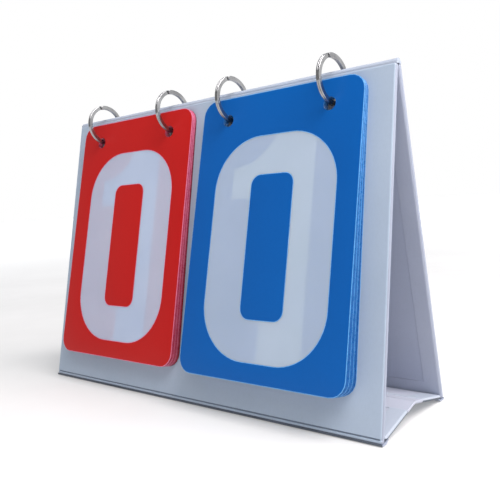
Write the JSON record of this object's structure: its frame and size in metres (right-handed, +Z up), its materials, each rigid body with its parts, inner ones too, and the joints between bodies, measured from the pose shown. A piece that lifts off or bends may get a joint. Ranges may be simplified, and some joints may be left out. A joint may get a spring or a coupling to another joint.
{
  "type": "flip scoreboard",
  "caption": "Table-top flip scoreboard: a folding stand of wrapped boards with red and blue numeral cards that turn over on split rings.",
  "frame": {"origin": "on the table, under the middle of the whole object's box", "axes": "+X to the right across the panels' width as seen from the cards' side, +Y from the cards to the back, +Z up"},
  "size_m": [0.23, 0.0754, 0.1722],
  "materials": {
    "greyboard": "raw greyboard",
    "covering": "white coated covering paper, satin",
    "lining": "white lining paper, matt",
    "ring_steel": "nickel-plated steel, polished",
    "red_plastic": "translucent plastic sheet, printed red, satin",
    "blue_plastic": "translucent plastic sheet, printed blue, satin"
  },
  "bodies": {
    "front_panel": {"front_core": "greyboard", "front_cover": "covering", "front_liner": "lining", "apex_strip": "covering", "front_fold_strip": "covering"},
    "rear_panel": {"rear_core": "greyboard", "rear_cover": "covering", "rear_liner": "lining", "rear_fold_strip": "covering"},
    "base_front": {"base_front_core": "greyboard", "base_front_cover": "covering", "base_front_liner": "lining", "crease_strip": "covering"},
    "base_rear": {"base_rear_core": "greyboard", "base_rear_cover": "covering", "base_rear_liner": "lining"},
    "key_ring_1": {"ring_1": "ring_steel"},
    "key_ring_2": {"ring_2": "ring_steel"},
    "key_ring_3": {"ring_3": "ring_steel"},
    "key_ring_4": {"ring_4": "ring_steel"},
    "red_9": {"red_card_9": "red_plastic"},
    "red_8": {"red_card_8": "red_plastic"},
    "red_7": {"red_card_7": "red_plastic"},
    "red_6": {"red_card_6": "red_plastic"},
    "red_5": {"red_card_5": "red_plastic"},
    "red_4": {"red_card_4": "red_plastic"},
    "red_3": {"red_card_3": "red_plastic"},
    "red_2": {"red_card_2": "red_plastic"},
    "red_1": {"red_card_1": "red_plastic"},
    "red_0": {"red_card_0": "red_plastic"},
    "blue_9": {"blue_card_9": "blue_plastic"},
    "blue_8": {"blue_card_8": "blue_plastic"},
    "blue_7": {"blue_card_7": "blue_plastic"},
    "blue_6": {"blue_card_6": "blue_plastic"},
    "blue_5": {"blue_card_5": "blue_plastic"},
    "blue_4": {"blue_card_4": "blue_plastic"},
    "blue_3": {"blue_card_3": "blue_plastic"},
    "blue_2": {"blue_card_2": "blue_plastic"},
    "blue_1": {"blue_card_1": "blue_plastic"},
    "blue_0": {"blue_card_0": "blue_plastic"}
  },
  "joints": [
    {"name": "stand_fold", "type": "hinge", "parent": "front_panel", "child": "rear_panel", "pos_m": [0, 0.00321, 0.1624], "axis": [-1, 0, 0], "range_deg": [0, 19.2], "deforming": ["apex_strip"]},
    {"name": "base_front_fold", "type": "hinge", "parent": "front_panel", "child": "base_front", "pos_m": [0, -0.02826, 0.00287], "axis": [1, 0, 0], "range_deg": [0, 64.32], "deforming": ["crease_strip"]},
    {"name": "base_rear_fold", "type": "hinge", "parent": "rear_panel", "child": "base_rear", "pos_m": [0, 0.03468, 0.00287], "axis": [-1, 0, 0], "range_deg": [0, 64.32]},
    {"name": "ring_1_spin", "type": "hinge", "parent": "front_panel", "child": "key_ring_1", "pos_m": [-0.0855, -0.00202, 0.15966], "axis": [0.9976, -0.0684, 0.0135], "continuous": true},
    {"name": "ring_2_spin", "type": "hinge", "parent": "front_panel", "child": "key_ring_2", "pos_m": [-0.0235, -0.00202, 0.15966], "axis": [0.9976, -0.0684, 0.0135], "continuous": true},
    {"name": "ring_3_spin", "type": "hinge", "parent": "front_panel", "child": "key_ring_3", "pos_m": [0.022, -0.00202, 0.15966], "axis": [0.9976, -0.0684, 0.0135], "continuous": true},
    {"name": "ring_4_spin", "type": "hinge", "parent": "front_panel", "child": "key_ring_4", "pos_m": [0.084, -0.00202, 0.15966], "axis": [0.9976, -0.0684, 0.0135], "continuous": true},
    {"name": "red_9_flip", "type": "hinge", "parent": "front_panel", "child": "red_9", "pos_m": [-0.0545, -0.00194, 0.16005], "axis": [-1, 0, 0], "range_deg": [0, 180]},
    {"name": "red_8_flip", "type": "hinge", "parent": "red_9", "child": "red_8", "pos_m": [-0.0545, -0.00194, 0.16005], "axis": [-1, 0, 0], "range_deg": [0, 180]},
    {"name": "red_7_flip", "type": "hinge", "parent": "red_8", "child": "red_7", "pos_m": [-0.0545, -0.00194, 0.16005], "axis": [-1, 0, 0], "range_deg": [0, 180]},
    {"name": "red_6_flip", "type": "hinge", "parent": "red_7", "child": "red_6", "pos_m": [-0.0545, -0.00194, 0.16005], "axis": [-1, 0, 0], "range_deg": [0, 180]},
    {"name": "red_5_flip", "type": "hinge", "parent": "red_6", "child": "red_5", "pos_m": [-0.0545, -0.00194, 0.16005], "axis": [-1, 0, 0], "range_deg": [0, 180]},
    {"name": "red_4_flip", "type": "hinge", "parent": "red_5", "child": "red_4", "pos_m": [-0.0545, -0.00194, 0.16005], "axis": [-1, 0, 0], "range_deg": [0, 180]},
    {"name": "red_3_flip", "type": "hinge", "parent": "red_4", "child": "red_3", "pos_m": [-0.0545, -0.00194, 0.16005], "axis": [-1, 0, 0], "range_deg": [0, 180]},
    {"name": "red_2_flip", "type": "hinge", "parent": "red_3", "child": "red_2", "pos_m": [-0.0545, -0.00194, 0.16005], "axis": [-1, 0, 0], "range_deg": [0, 180]},
    {"name": "red_1_flip", "type": "hinge", "parent": "red_2", "child": "red_1", "pos_m": [-0.0545, -0.00194, 0.16005], "axis": [-1, 0, 0], "range_deg": [0, 180]},
    {"name": "red_0_flip", "type": "hinge", "parent": "red_1", "child": "red_0", "pos_m": [-0.0545, -0.00194, 0.16005], "axis": [-1, 0, 0], "range_deg": [0, 180]},
    {"name": "blue_9_flip", "type": "hinge", "parent": "front_panel", "child": "blue_9", "pos_m": [0.053, -0.00194, 0.16005], "axis": [-1, 0, 0], "range_deg": [0, 180]},
    {"name": "blue_8_flip", "type": "hinge", "parent": "blue_9", "child": "blue_8", "pos_m": [0.053, -0.00194, 0.16005], "axis": [-1, 0, 0], "range_deg": [0, 180]},
    {"name": "blue_7_flip", "type": "hinge", "parent": "blue_8", "child": "blue_7", "pos_m": [0.053, -0.00194, 0.16005], "axis": [-1, 0, 0], "range_deg": [0, 180]},
    {"name": "blue_6_flip", "type": "hinge", "parent": "blue_7", "child": "blue_6", "pos_m": [0.053, -0.00194, 0.16005], "axis": [-1, 0, 0], "range_deg": [0, 180]},
    {"name": "blue_5_flip", "type": "hinge", "parent": "blue_6", "child": "blue_5", "pos_m": [0.053, -0.00194, 0.16005], "axis": [-1, 0, 0], "range_deg": [0, 180]},
    {"name": "blue_4_flip", "type": "hinge", "parent": "blue_5", "child": "blue_4", "pos_m": [0.053, -0.00194, 0.16005], "axis": [-1, 0, 0], "range_deg": [0, 180]},
    {"name": "blue_3_flip", "type": "hinge", "parent": "blue_4", "child": "blue_3", "pos_m": [0.053, -0.00194, 0.16005], "axis": [-1, 0, 0], "range_deg": [0, 180]},
    {"name": "blue_2_flip", "type": "hinge", "parent": "blue_3", "child": "blue_2", "pos_m": [0.053, -0.00194, 0.16005], "axis": [-1, 0, 0], "range_deg": [0, 180]},
    {"name": "blue_1_flip", "type": "hinge", "parent": "blue_2", "child": "blue_1", "pos_m": [0.053, -0.00194, 0.16005], "axis": [-1, 0, 0], "range_deg": [0, 180]},
    {"name": "blue_0_flip", "type": "hinge", "parent": "blue_1", "child": "blue_0", "pos_m": [0.053, -0.00194, 0.16005], "axis": [-1, 0, 0], "range_deg": [0, 180]}
  ],
  "couplings": [
    {"joint": "base_front_fold", "follows": "stand_fold", "ratio": 3.35},
    {"joint": "base_rear_fold", "follows": "stand_fold", "ratio": 3.35}
  ]
}
